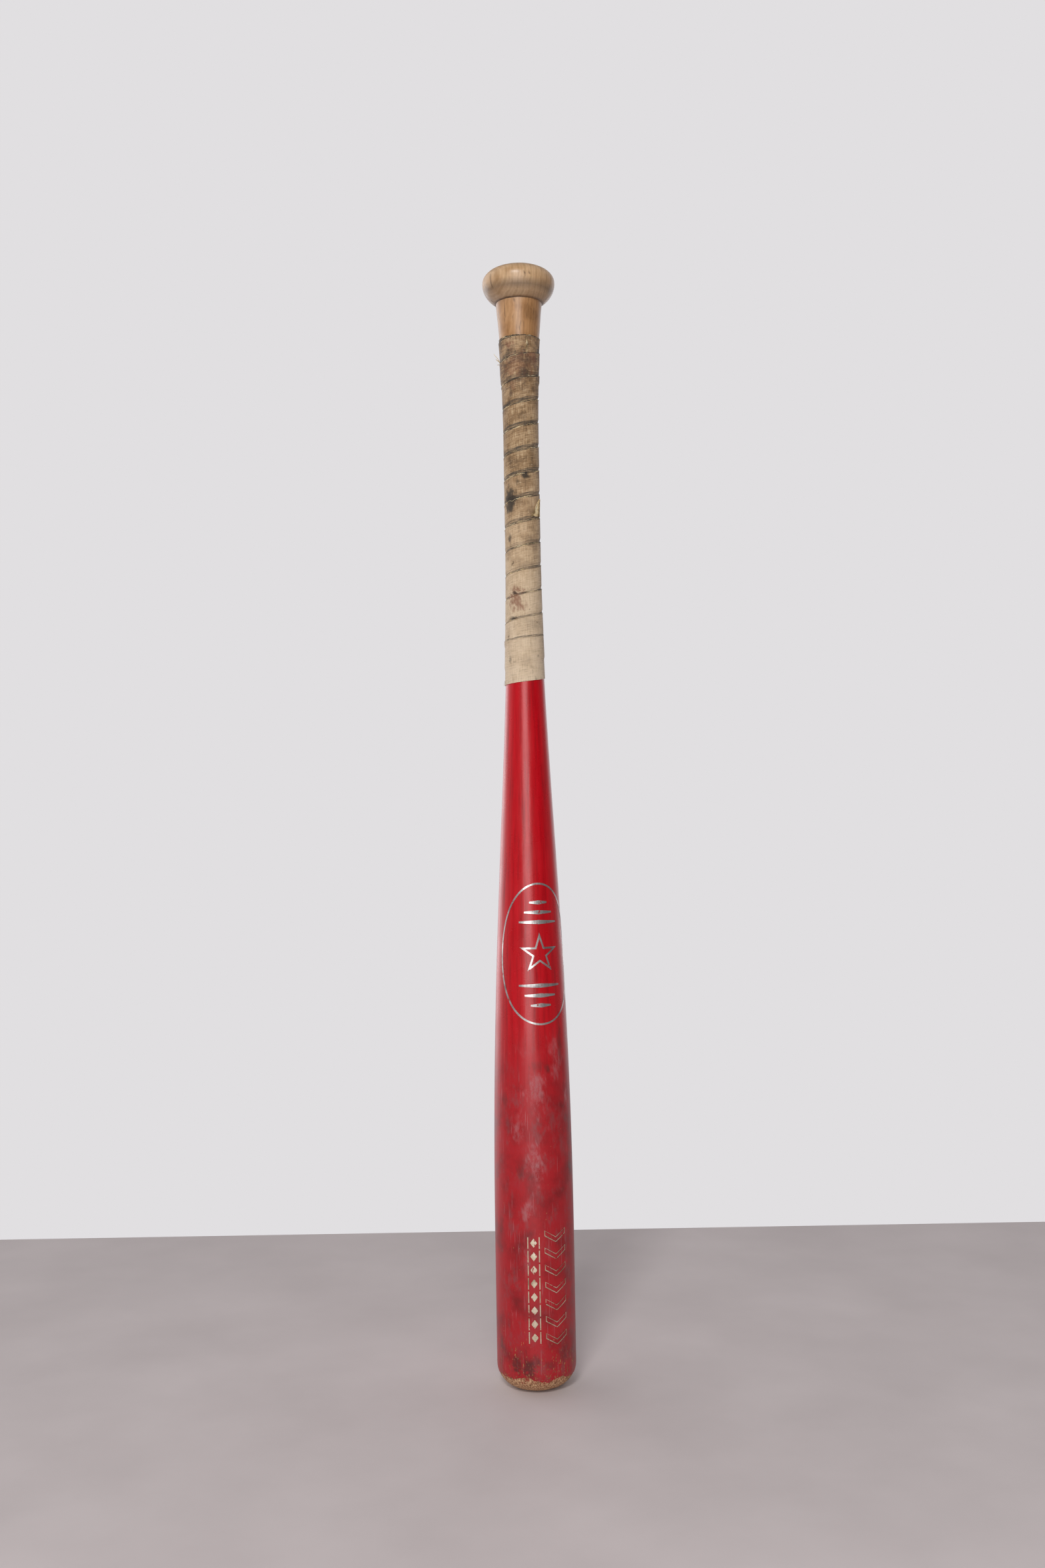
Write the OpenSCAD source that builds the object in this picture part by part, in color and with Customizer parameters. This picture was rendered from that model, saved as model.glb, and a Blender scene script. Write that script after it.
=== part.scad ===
// Softball bat, turned from one billet of wood.
// The barrel is lacquered red and marked in silver foil, the handle is wound with cloth tape,
// and the neck and knob are left as varnished wood.
// The bat stands on its barrel end: Z runs along its axis towards the knob, and the origin is
// at the centre of the small flat on the barrel end. The foil marks face -Y.

/* [Bat] */
// Length from the flat on the barrel end to the top of the knob
bat_length = 813; // [740:1:900]
// Wood diameter of the barrel
barrel_d = 56.7; // [46:0.1:69]
// Length of the barrel's straight stretch, from the barrel end
barrel_straight = 80; // [40:1:120]
// Flat on the barrel end
end_flat_d = 24; // [16:1:34]
// Wood diameter of the handle
handle_d = 24; // [20:0.1:30]
// Distance from the knob's top to where the taper reaches the handle
handle_length = 218; // [180:1:260]
// How late the taper drops away from the barrel
taper_shape = 1.3; // [1:0.05:1.6]

/* [Knob] */
// Widest diameter of the knob
knob_d = 53; // [44:0.5:62]
// Height of the knob above its widest circle
knob_top_h = 12.8; // [8:0.1:18]
// Height of the knob below its widest circle
knob_under_h = 14.3; // [8:0.1:20]
// Squareness of the knob's upper half
knob_squareness = 2.3; // [2:0.1:3]
// Diameter of the neck where it meets the knob
neck_d = 33.8; // [31:0.1:40]
// Step from the neck out to the knob's underside
neck_step = 0.4; // [0.2:0.1:1]
// Length over which the handle flares out to the neck
flare_length = 96; // [50:1:130]

/* [Lacquer] */
// Thickness of the red lacquer
lacquer_t = 0.25; // [0.15:0.05:0.5]
// Height of the worn, bare band at the barrel end
bare_end = 12; // [6:1:14]
// How far the lacquer runs up under the tape
lacquer_under_tape = 12; // [4:1:20]

/* [Grip tape] */
// Width of the cloth tape
tape_w = 32; // [26:1:38]
// Thickness of the cloth tape
tape_t = 0.42; // [0.3:0.01:0.6]
// Advance of one turn of the spiral
tape_pitch = 17.4; // [15:0.1:20]
// Turns in the spiral
tape_turns = 13.4; // [9.4:1:14.4]
// Bare neck between the knob's underside and the tape
bare_neck = 26.7; // [15:0.1:45]
// Advance that the first turn loses as it leaves the anchor turn
start_ease = 4.5; // [2:0.1:6]
// Advance that the last turn loses as it straightens
finish_ease = 7; // [2:0.1:8]
// Direction of the spiral's cut end, seen from above
tape_start_az = -72; // [-180:1:180]

/* [Foil marks] */
// Thickness of the silver foil
foil_t = 0.1; // [0.06:0.01:0.2]
// Direction that the oval faces, seen from above
oval_az = -73; // [-180:1:180]
// Height of the oval's centre
oval_z = 312; // [260:1:360]
// Length of the oval along the bat
oval_long = 101; // [60:1:110]
// Width of the oval around the bat
oval_wide = 61; // [40:1:64]
// Width of the oval's line
oval_line = 1.3; // [0.6:0.1:2]
// Radius of the star's points
star_r = 15; // [8:0.5:18]
// Direction that the chevrons face, seen from above
chevron_az = -59; // [-180:1:180]
// Height of the lowest chevron
chevron_z = 36; // [30:1:60]
// Width of a chevron around the bat
chevron_w = 17; // [10:0.5:20]
// Distance from one chevron to the next
chevron_step = 12; // [9:0.5:14]
// Number of chevrons
chevron_count = 7; // [2:1:8]
// Line width of the chevrons and pinstripes
fine_line = 0.5; // [0.4:0.1:1]
// Direction that the pinstripes face, seen from above
pinstripe_az = -92; // [-180:1:180]
// Height of the pinstripes' lower end
pinstripe_z = 38; // [30:1:60]
// Length of the pinstripes
pinstripe_long = 76; // [40:1:90]
// Distance between the two pinstripes
pinstripe_gap = 8; // [4:0.5:12]

/* [Hidden] */
$fn = 96;

barrel_r = barrel_d / 2;
handle_r = handle_d / 2;
end_flat_r = end_flat_d / 2;
end_round = barrel_r - end_flat_r;          // quarter arc from the flat to the barrel
taper_top = bat_length - handle_length;
knob_r = knob_d / 2;
knob_mid_z = bat_length - knob_top_h;       // widest circle of the knob
neck_r = neck_d / 2;
neck_z = knob_mid_z - knob_under_h;         // where the neck meets the knob
knob_seat_r = neck_r + neck_step;
knob_under_b = knob_under_h / sqrt(1 - pow(knob_seat_r / knob_r, 2));  // half height of its ellipse
flare_z = neck_z - flare_length;

tape_gap = 0.05;                            // air between one layer of tape and the next
tape_ramp = 1.5;                            // length over which tape drapes off an edge below it
ease_rate = 2.5;                            // how fast the easing of the first and last turn fades
tape_steps = 20;                            // facets in one turn
coat_fade = 60;                             // length over which the tape eases off the lacquer
least = 0.1;                                // least distance between points across the tape
facet = 1 / cos(180 / tape_steps);          // keeps the middle of a facet off what it is wound on
tape_top = neck_z - bare_neck;
tape_low = tape_edge(tape_turns) - tape_w;
lacquer_top = tape_low + lacquer_under_tape;

foil_gap = 0.08;                            // bed of size under the foil, which clears the flat pieces
foil_piece = 2;                             // longest flat piece of a foil line

// ---- shape of the wood

function smooth(t) = t * t * (3 - 2 * t);
function clamp(t) = min(1, max(0, t));
function taper(z) = smooth(pow(clamp((z - barrel_straight) / (taper_top - barrel_straight)), taper_shape));
function flare(z) = pow(clamp((z - flare_z) / flare_length), 2);
function wood_r(z) = barrel_r + (handle_r - barrel_r) * taper(z) + (neck_r - handle_r) * flare(z);

// Heights from a to b, no more than about `step` apart
function heights(a, b, step) = let (n = ceil((b - a) / step)) [for (i = [0 : n]) a + (b - a) * i / n];

// Outline of the rounded barrel end from the flat to the barrel, `out` proud of the wood, above height `low`.
// On a thin barrel the rounding can end below `low`, and the outline then starts on the straight part.
function end_outline(out, low) = low > end_round ? [[barrel_r + out, low]]
    : [for (a = [0 : 7.5 : 90]) if (end_round * (1 - cos(a)) >= low)
        [end_flat_r + (end_round + out) * sin(a), end_round - (end_round + out) * cos(a)]];

// Outline of the knob, from the neck round to the top
knob_outline = concat(
    [for (a = [0 : 9]) let (h = -knob_under_h * (1 - a / 10))
        [knob_r * sqrt(1 - pow(h / knob_under_b, 2)), knob_mid_z + h]],
    [for (a = [0 : 6 : 90])
        [knob_r * pow(cos(a), 2 / knob_squareness),
         knob_mid_z + knob_top_h * pow(sin(a), 2 / knob_squareness)]]);

module turned_wood_body() {
    color("peru")
    rotate_extrude()
    polygon(concat(
        [[0, 0]],
        end_outline(0, 0),
        [for (z = heights(barrel_straight, flare_z, 12)) [wood_r(z), z]],
        [for (z = heights(flare_z, neck_z, 8)) if (z > flare_z) [wood_r(z), z]],
        knob_outline));
}

// ---- lacquer: a skin on the wood, from the worn band up to under the tape

module red_lacquer_coat() {
    skin = [for (z = heights(barrel_straight, flare_z, 12)) if (z < lacquer_top) z];
    last = len(skin) - 1;
    step = skin[last] - skin[last - 1];     // the outline runs straight from one height to the next
    share = (lacquer_top - skin[last]) / step;
    top_r = wood_r(skin[last]) * (1 - share) + wood_r(skin[last] + step) * share;
    color("firebrick")
    rotate_extrude()
    polygon(concat(
        end_outline(lacquer_t, bare_end),
        [for (z = skin) [wood_r(z) + lacquer_t, z]],
        [[top_r + lacquer_t, lacquer_top], [top_r, lacquer_top]],
        [for (i = [last : -1 : 0]) [wood_r(skin[i]), skin[i]]],
        reversed(end_outline(0, bare_end))));
}

function reversed(list) = [for (i = [len(list) - 1 : -1 : 0]) list[i]];

// ---- grip tape

// Upper edge of the strip after u turns; before 0 it is the straight anchor turn
function tape_edge(u) = u <= 0 ? tape_top
    : tape_top - tape_pitch * u + start_ease * (1 - exp(-ease_rate * u))
      + finish_ease * exp(-ease_rate * (tape_turns - u));

// Height above the wood of what lies under the strip at turn u and height z
function under(u, z) =
    u < -0.001 ? 0
    : let (low = tape_edge(u - 1) - tape_w,
           f = clamp((z - low) / tape_ramp + 1))
      f == 0 ? 0 : f * (under(u - 1, z) + tape_t + tape_gap);

// The strip lies on the lacquer near its lower end, and eases down to bare wood above that
function coat(z) = (lacquer_t + tape_gap) * smooth(clamp((lacquer_top + tape_w + coat_fade - z) / coat_fade));

function tape_r(z) = wood_r(z) + coat(z) + tape_gap;

// Distances down the strip from its upper edge, with a point where it starts and ends each drape
// over the edge of the turn above, and of the turn above that
function across(u) =
    let (one = min(tape_w - 4 * least, tape_w - (tape_edge(u - 1) - tape_edge(u))),
         two = u < 1 ? least : max(least, tape_w - (tape_edge(u - 2) - tape_edge(u))),
         b = max(two + least, min(two + tape_ramp, one)),
         c = max(b + least, max(two + tape_ramp, one)))
    [0, two, b, c, min(tape_w - least, max(c + least, one + tape_ramp)), tape_w];

module tape_anchor_turn() {
    bottom = tape_top - tape_w;
    color("tan")
    rotate_extrude()
    polygon(concat(
        [for (z = heights(bottom, tape_top, 4)) [tape_r(z) + tape_t, z]],
        [for (z = heights(-tape_top, -bottom, 4)) [tape_r(-z), -z]]));
}

module tape_spiral_wrap() {
    sections = round(tape_turns * tape_steps);
    ring = 12;                              // six points outside, six inside
    points = [for (i = [0 : sections])
        let (u = i / tape_steps, az = tape_start_az - 360 * u, s = across(u), edge = tape_edge(u))
        for (k = [0 : ring - 1])
            let (j = k < 6 ? k : ring - 1 - k,
                 z = edge - s[j],
                 r = (tape_r(z) + under(u, z) + (k < 6 ? tape_t : 0)) * facet)
            [r * cos(az), r * sin(az), z]];
    walls = [for (i = [0 : sections - 1]) for (k = [0 : ring - 1])
        let (a = i * ring + k, b = i * ring + (k + 1) % ring)
        for (f = [[a, b, b + ring], [a, b + ring, a + ring]]) f];
    starts = [for (k = [0 : 4]) for (f = [[k, ring - 1 - k, k + 1], [k + 1, ring - 1 - k, ring - 2 - k]]) f];
    last = sections * ring;
    ends = [for (f = starts) [last + f[0], last + f[2], last + f[1]]];
    color("burlywood")
    polyhedron(points, concat(walls, starts, ends));
}

// ---- foil marks, laid on the lacquer

// Point on the barrel: a millimetres round from direction az at height z, h above the foil's bed
function on_barrel(az, mid_z, a, z, h) =
    let (turn = az + a / wood_r(mid_z) * 180 / PI,
         r = wood_r(z) + lacquer_t + foil_gap + h)
    [r * cos(turn), r * sin(turn), z];

// Points along a closed outline, no further apart than one flat piece of foil
function finer(path) = [for (i = [0 : len(path) - 1])
    let (a = path[i], b = path[(i + 1) % len(path)], n = ceil(norm(b - a) / foil_piece))
    for (k = [0 : n - 1]) a + (b - a) * k / n];

// Closed foil line between two outlines that have the same number of points. A line wider than one flat
// piece of foil, measured at the first point, is divided across as well, so that it follows the barrel.
module foil_line(az, mid_z, outer, inner) {
    n = len(outer);
    strips = ceil(norm(outer[0] - inner[0]) / foil_piece);
    rings = concat(
        [for (s = [0 : strips]) [outer + (inner - outer) * s / strips, foil_t]],
        [for (s = [strips : -1 : 0]) [outer + (inner - outer) * s / strips, 0]]);
    rows = len(rings);
    points = [for (ring = rings) for (p = ring[0]) on_barrel(az, mid_z, p[0], p[1], ring[1])];
    faces = [for (k = [0 : rows - 1]) for (i = [0 : n - 1])
        let (a = k * n + i, b = k * n + (i + 1) % n, up = ((k + 1) % rows - k) * n)
        for (f = [[a, a + up, b + up], [a, b + up, b]]) f];
    polyhedron(points, faces);
}

// Foil plate with straight sides across the bat, w wide from z0 to z1, its ends pinched by `pinch`
module foil_plate(az, mid_z, a0, w, z0, z1, pinch = 0) {
    n = 2 * ceil(w / 2 / foil_piece);       // even, for a point in the middle where nothing is pinched
    zm = (z0 + z1) / 2;
    function edge(i, low) =
        let (t = abs(2 * i / n - 1), keep = 1 - pinch * t)
        [a0 + w * (i / n - 0.5), zm + (low ? z0 - zm : z1 - zm) * keep];
    rim = concat([for (i = [0 : n]) edge(i, true)], [for (i = [n : -1 : 0]) edge(i, false)]);
    m = len(rim);
    points = concat([for (p = rim) on_barrel(az, mid_z, p[0], p[1], foil_t)],
                    [for (p = rim) on_barrel(az, mid_z, p[0], p[1], 0)]);
    lids = [for (i = [0 : n - 1]) for (f = [[i, m - 1 - i, m - 2 - i], [i, m - 2 - i, i + 1]]) f];
    sides = [for (i = [0 : m - 1]) let (j = (i + 1) % m) for (f = [[i, j, j + m], [i, j + m, i + m]]) f];
    polyhedron(points, concat(lids, [for (f = lids) [f[0] + m, f[2] + m, f[1] + m]], sides));
}

module foil_oval_ring() {
    function oval(inset) = [for (t = [0 : 3.75 : 359])
        [(oval_wide / 2 - inset) * cos(t), oval_z + (oval_long / 2 - inset) * sin(t)]];
    color("silver")
    foil_line(oval_az, oval_z, oval(0), oval(oval_line));
}

module foil_star_and_bars() {
    inner_r = star_r * sin(18) / sin(54);   // a five-pointed star's inner corners
    function star(r, inner) = [for (i = [0 : 9])
        let (q = i % 2 == 0 ? r : inner) [-q * sin(i * 36), oval_z + q * cos(i * 36)]];
    line = oval_line / sin(18);
    color("silver") {
        foil_line(oval_az, oval_z, finer(star(star_r, inner_r)), finer_like(star(star_r, inner_r),
            star(star_r - line, inner_r - line * inner_r / star_r)));
        for (side = [-1, 1]) for (i = [0 : 2]) {
            z = oval_z + side * (22.5 + 7 * i);
            foil_plate(oval_az, oval_z, 0, 30 - 8 * i, z - 1.5, z + 1.5, pinch = 0.6);
        }
    }
}

// Points along path b at the same steps as finer(a)
function finer_like(a, b) = [for (i = [0 : len(a) - 1])
    let (j = (i + 1) % len(a), n = ceil(norm(a[j] - a[i]) / foil_piece))
    for (k = [0 : n - 1]) b[i] + (b[j] - b[i]) * k / n];

module foil_chevron_row() {
    half = chevron_w / 2;
    rise = half * 0.6;                      // drop of the arms from the point
    band = 4;                               // thickness of a chevron along the bat
    function chevron(z, g) = [
        [0, z + g * 1.2], [half - g, z + rise + g], [half - g, z + rise + band - g],
        [0, z + band - g * 1.2], [-half + g, z + rise + band - g], [-half + g, z + rise + g]];
    color("silver")
    for (i = [0 : chevron_count - 1]) {
        z = chevron_z + i * chevron_step;
        foil_line(chevron_az, chevron_z, finer(chevron(z, 0)),
                  finer_like(chevron(z, 0), chevron(z, fine_line)));
    }
}

module foil_pinstripes() {
    lozenges = 8;
    step = pinstripe_long / lozenges;
    color("silver") {
        for (side = [-1, 1]) for (i = [0 : lozenges - 1])
            foil_plate(pinstripe_az, pinstripe_z, side * pinstripe_gap / 2, fine_line * 1.4,
                       pinstripe_z + i * step, pinstripe_z + (i + 0.86) * step);
        for (i = [0 : lozenges - 1])
            foil_plate(pinstripe_az, pinstripe_z, 0, pinstripe_gap * 0.55,
                       pinstripe_z + (i + 0.1) * step, pinstripe_z + (i + 0.76) * step, pinch = 0.9);
    }
}

turned_wood_body();
red_lacquer_coat();
foil_oval_ring();
foil_star_and_bars();
foil_chevron_row();
foil_pinstripes();
tape_anchor_turn();
tape_spiral_wrap();
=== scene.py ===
import bpy
import math
import random
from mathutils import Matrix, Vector, noise


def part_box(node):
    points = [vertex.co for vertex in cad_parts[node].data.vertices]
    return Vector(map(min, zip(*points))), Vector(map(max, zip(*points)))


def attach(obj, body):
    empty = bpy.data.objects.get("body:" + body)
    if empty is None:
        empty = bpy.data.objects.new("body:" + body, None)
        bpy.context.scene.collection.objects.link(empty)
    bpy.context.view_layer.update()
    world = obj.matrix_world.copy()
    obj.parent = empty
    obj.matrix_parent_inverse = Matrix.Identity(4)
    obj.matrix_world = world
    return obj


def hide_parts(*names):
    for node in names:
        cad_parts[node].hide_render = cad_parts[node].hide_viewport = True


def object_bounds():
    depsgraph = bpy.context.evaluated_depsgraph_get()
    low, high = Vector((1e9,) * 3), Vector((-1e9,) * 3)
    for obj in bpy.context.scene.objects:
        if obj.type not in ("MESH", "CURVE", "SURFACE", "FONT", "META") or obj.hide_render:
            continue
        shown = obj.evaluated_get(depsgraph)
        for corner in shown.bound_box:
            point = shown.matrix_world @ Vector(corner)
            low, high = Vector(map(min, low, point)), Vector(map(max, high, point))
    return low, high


# A softball bat standing on its barrel end: varnished ash, red lacquer, silver foil and a cloth grip.
# Everything is in metres, Z runs up the bat, and the camera looks along +Y.

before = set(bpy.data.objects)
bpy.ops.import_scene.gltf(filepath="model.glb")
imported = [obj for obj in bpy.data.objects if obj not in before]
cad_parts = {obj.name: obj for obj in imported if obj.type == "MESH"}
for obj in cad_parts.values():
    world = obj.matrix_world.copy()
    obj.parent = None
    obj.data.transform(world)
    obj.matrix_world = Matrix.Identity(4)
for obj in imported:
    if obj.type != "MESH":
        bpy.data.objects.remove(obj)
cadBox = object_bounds()
mm = 0.001


def linear(hexColour):
    parts = [int(hexColour[i:i + 2], 16) / 255 for i in (1, 3, 5)]
    return tuple(p / 12.92 if p <= 0.04045 else ((p + 0.055) / 1.055) ** 2.4 for p in parts) + (1,)


def smooth(t):
    t = min(1, max(0, t))
    return t * t * (3 - 2 * t)


def addNode(material, kind, inputs, stops=None, **settings):
    made = material.node_tree.nodes.new("ShaderNode" + kind)
    for name, value in settings.items():
        setattr(made, name, value)
    if stops:  # a colour ramp: position and colour, or position and a grey from 0 to 1
        while len(made.color_ramp.elements) < len(stops):
            made.color_ramp.elements.new(1)
        for element, (place, colour) in zip(made.color_ramp.elements, stops):
            element.position = place
            element.color = linear(colour) if isinstance(colour, str) else (colour, colour, colour, 1)
    for name, value in inputs.items():
        if isinstance(value, bpy.types.Node):
            value = next(o for o in value.outputs if o.enabled)
        if isinstance(value, bpy.types.NodeSocket):
            material.node_tree.links.new(value, made.inputs[name])
        else:
            made.inputs[name].default_value = linear(value) if isinstance(value, str) else value
    return made


def newMaterial(name):
    material = bpy.data.materials.new(name)
    material.use_nodes = True
    material.node_tree.nodes.clear()
    return material


def deselectAll():
    if bpy.context.mode != "OBJECT":
        bpy.ops.object.mode_set(mode="OBJECT")
    bpy.ops.object.select_all(action="DESELECT")


def dress(piece, name, material):
    piece.name = name
    piece.data.name = name
    piece.data.materials.clear()
    piece.data.materials.append(material)
    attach(piece, "root")


# camera, floor and light, on the frame the bat stands in

cameraPlace = {"location": (-0.0036, -1.112, 0.411), "upTilt": 1.17, "roll": 0.98, "lens": 35}

cameraData = bpy.data.cameras.new("studioCamera")
cameraData.lens = cameraPlace["lens"]
camera = bpy.data.objects.new("studioCamera", cameraData)
camera.location = cameraPlace["location"]
camera.rotation_euler = (math.radians(90 + cameraPlace["upTilt"]), math.radians(cameraPlace["roll"]), 0)
bpy.context.scene.collection.objects.link(camera)
bpy.context.scene.camera = camera
bpy.context.scene.view_settings.view_transform = "Standard"

room = {
    "floorBack": 0.405, "floorFront": -2.2, "floorHalf": 2.6,
    # place, what it points at, width and height, power
    "lights": {
        "overheadLight": ((-0.33, -2.0, 1.95), (0, 0, 0.40), (0.5, 0.4), 22),
        "windowLight": ((-0.15, -2.0, 0.78), (0, 0, 0.55), (1.0, 1.5), 19),
    },
}

for lampName, (place, aim, size, power) in room["lights"].items():
    lampData = bpy.data.lights.new(lampName, "AREA")
    lampData.shape = "RECTANGLE"
    lampData.size, lampData.size_y = size
    lampData.energy = power
    lamp = bpy.data.objects.new(lampName, lampData)
    lamp.location = place
    lamp.rotation_euler = (Vector(aim) - Vector(place)).to_track_quat("-Z", "Y").to_euler()
    bpy.context.scene.collection.objects.link(lamp)

deselectAll()
bpy.ops.mesh.primitive_plane_add(size=1)
floor = bpy.context.object
floor.name = "studioFloor"
for corner in floor.data.vertices:
    side = room["floorHalf"] if corner.co.x > 0 else -room["floorHalf"]
    depth = room["floorBack"] if corner.co.y > 0 else room["floorFront"]
    corner.co = (side, depth, 0)
concrete = newMaterial("sealedConcreteFloor")  # matt, with soft cloudy patches
coords = addNode(concrete, "TexCoord", {})
clouds = addNode(concrete, "TexNoise", {"Vector": coords.outputs["Object"], "Scale": 9, "Detail": 6})
patches = addNode(concrete, "ValToRGB", {0: clouds}, stops=[(0.3, "#cbc1c0"), (0.7, "#d5cbca")])
sealed = addNode(concrete, "BsdfPrincipled", {"Base Color": patches, "Roughness": 0.7})
addNode(concrete, "OutputMaterial", {"Surface": sealed})
floor.data.materials.append(concrete)

# a pale backdrop all round, and a room that is bright at the back and left and dim at the right and front
world = bpy.data.worlds.new("paleRoom")
world.use_nodes = True
bpy.context.scene.world = world
world.node_tree.nodes.clear()
around = addNode(world, "TexCoord", {})
facing = addNode(world, "SeparateXYZ", {0: around.outputs["Generated"]})
sideShare = addNode(world, "MapRange", {0: facing.outputs["X"], 1: -1, 2: 1})
sideTones = addNode(world, "ValToRGB", {0: sideShare}, stops=[
    (0.02, "#8a888a"), (0.07, "#d0ced0"), (0.12, "#f0eef0"), (0.24, "#f4f2f4"), (0.32, "#9a989a"),
    (0.50, "#949294"), (0.70, "#b6b4b6"), (0.82, "#a09ea0"), (0.88, "#a4a2a4"), (0.91, "#6c6a6c"),
    (0.97, "#4c4a4c")])
frontShare = addNode(world, "MapRange", {0: facing.outputs["Y"], 1: -0.42, 2: 0.05, 3: 0.10, 4: 1})
riseShare = addNode(world, "MapRange", {0: facing.outputs["Z"], 1: -1, 2: 1})
riseTones = addNode(world, "ValToRGB", {0: riseShare},
                    stops=[(0.40, 0.35), (0.47, 1.0), (0.60, 1.0), (0.85, 0.25)])
walls = addNode(world, "Mix", {0: 1, 6: sideTones, 7: frontShare}, data_type="RGBA", blend_type="MULTIPLY")
roomTones = addNode(world, "Mix", {0: 1, 6: walls, 7: riseTones}, data_type="RGBA", blend_type="MULTIPLY")
roomLight = addNode(world, "Background", {"Color": roomTones, "Strength": 3})
backdrop = addNode(world, "Background", {"Color": "#e1dfe1", "Strength": 1})
seen = addNode(world, "LightPath", {}).outputs["Is Camera Ray"]
sky = addNode(world, "MixShader", {0: seen, 1: roomLight, 2: backdrop})
addNode(world, "OutputWorld", {"Surface": sky})
print("stage, lights and camera are in place")


def readOutline(node):
    rings = {}
    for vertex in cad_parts[node].data.vertices:
        radius = math.hypot(vertex.co.x, vertex.co.y)
        rings.setdefault(round(vertex.co.z, 6), []).append(radius)
    outline = []
    for height in sorted(rings):
        inner, outer = min(rings[height]), max(rings[height])
        if outer - inner > 2e-4 and height > cadBox[0].z + 1e-4:
            outline.append((inner, height))  # a flat step, as under the knob
        outline.append((outer, height))
    return outline


def finerOutline(points, step):
    # points of a smooth curve through the outline, with its sharp corners kept
    def tangent(i):
        a, b, c = points[max(i - 1, 0)], points[i], points[min(i + 1, len(points) - 1)]
        before = Vector((b[0] - a[0], b[1] - a[1]))
        after = Vector((c[0] - b[0], c[1] - b[1]))
        if before.length < 1e-9 or after.length < 1e-9 or before.angle(after) > 0.45:
            return None
        if max(before.length, after.length) > 20 * mm:  # a straight stretch
            return (before if before.length > after.length else after).normalized()
        return (before.normalized() * after.length + after.normalized() * before.length).normalized()

    finer = []
    for i in range(len(points) - 1):
        a, b = Vector(points[i]), Vector(points[i + 1])
        span = (b - a).length
        count = max(1, math.ceil(span / step))
        start, end = tangent(i) or (b - a).normalized(), tangent(i + 1) or (b - a).normalized()
        for k in range(count):
            t = k / count
            p = (a * (2 * t ** 3 - 3 * t ** 2 + 1) + start * span * (t ** 3 - 2 * t ** 2 + t)
                 + b * (3 * t ** 2 - 2 * t ** 3) + end * span * (t ** 3 - t ** 2))
            finer.append((p.x, p.y))
    finer.append(points[-1])
    return finer


woodOutline = [(0, 0)] + finerOutline(readOutline("turned_wood_body"), 3 * mm)  # closed at the foot


def woodRadius(height):
    for (r0, z0), (r1, z1) in zip(woodOutline, woodOutline[1:]):
        if z0 <= height <= z1 and z1 > z0:
            return r0 + (r1 - r0) * (height - z0) / (z1 - z0)
    return woodOutline[-1][0]


def turnOnLathe(outline, steps):
    # one corner point is pulled along the outline, then spun once round the bat's axis
    deselectAll()
    bpy.ops.mesh.primitive_plane_add(size=1)
    piece = bpy.context.object
    bpy.ops.object.mode_set(mode="EDIT")
    bpy.ops.mesh.select_all(action="SELECT")
    bpy.ops.mesh.merge(type="CENTER")
    bpy.ops.transform.translate(value=(outline[0][0], 0, outline[0][1]))
    for (r0, z0), (r1, z1) in zip(outline, outline[1:]):
        bpy.ops.mesh.extrude_vertices_move(TRANSFORM_OT_translate={"value": (r1 - r0, 0, z1 - z0)})
    bpy.ops.mesh.select_all(action="SELECT")
    bpy.ops.mesh.spin(steps=steps, angle=math.tau, center=(0, 0, 0), axis=(0, 0, 1))
    bpy.ops.mesh.select_all(action="SELECT")
    bpy.ops.mesh.remove_doubles(threshold=5e-6)
    bpy.ops.mesh.normals_make_consistent(inside=False)
    bpy.ops.object.mode_set(mode="OBJECT")
    return piece


def aroundBat(co):
    # azimuth from the front in degrees, + to the right, and the height in mm
    return math.degrees(math.atan2(co.x, -co.y)), co.z / mm


def markDepth(co, marks, jitter=0.25):
    # how deep a point lies inside the nearest of some marks, each one given as
    # (height mm, azimuth, half height, half width, strength)
    azimuth, height = aroundBat(co)
    girth = math.hypot(co.x, co.y) / mm
    deepest = 0
    for markHeight, markAzimuth, halfHeight, halfWidth, strength in marks:
        across = math.radians((azimuth - markAzimuth + 180) % 360 - 180) * girth / halfWidth
        along = (height - markHeight) / halfHeight
        if abs(across) < 1.6 and abs(along) < 1.6:
            wobble = jitter * noise.noise(co * 420) + jitter * noise.noise(co * 1100)
            deepest = max(deepest, strength * smooth(1.6 * (1 + wobble - math.hypot(across, along))))
    return deepest


def paintAttribute(piece, name, valueAt):
    attribute = piece.data.attributes.new(name, "FLOAT", "POINT")
    attribute.data.foreach_set("value", [valueAt(v.co) for v in piece.data.vertices])


turnedWood = {
    "turns": 144, "dentDepth": 0.22 * mm, "knobFrom": 786 * mm, "endTo": 16 * mm, "grainFrom": 750 * mm,
    # dark grain marks on the knob and neck: height mm, azimuth, half height, half width, strength
    "grainMarks": [(798, -50, 8, 0.7, 0.6), (800, 10.5, 2.6, 0.8, 0.8), (800.5, 17, 2.2, 0.7, 0.7),
                   (776, -68, 5, 0.6, 0.8), (776, -40, 4, 0.6, 0.7), (784, -12, 1.4, 1.2, 0.6),
                   (767, 12, 1.4, 0.7, 0.7), (766, 60, 1, 0.8, 0.6), (797, 150, 6, 0.8, 0.6),
                   (775, 170, 6, 0.6, 0.6)],
}


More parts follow.
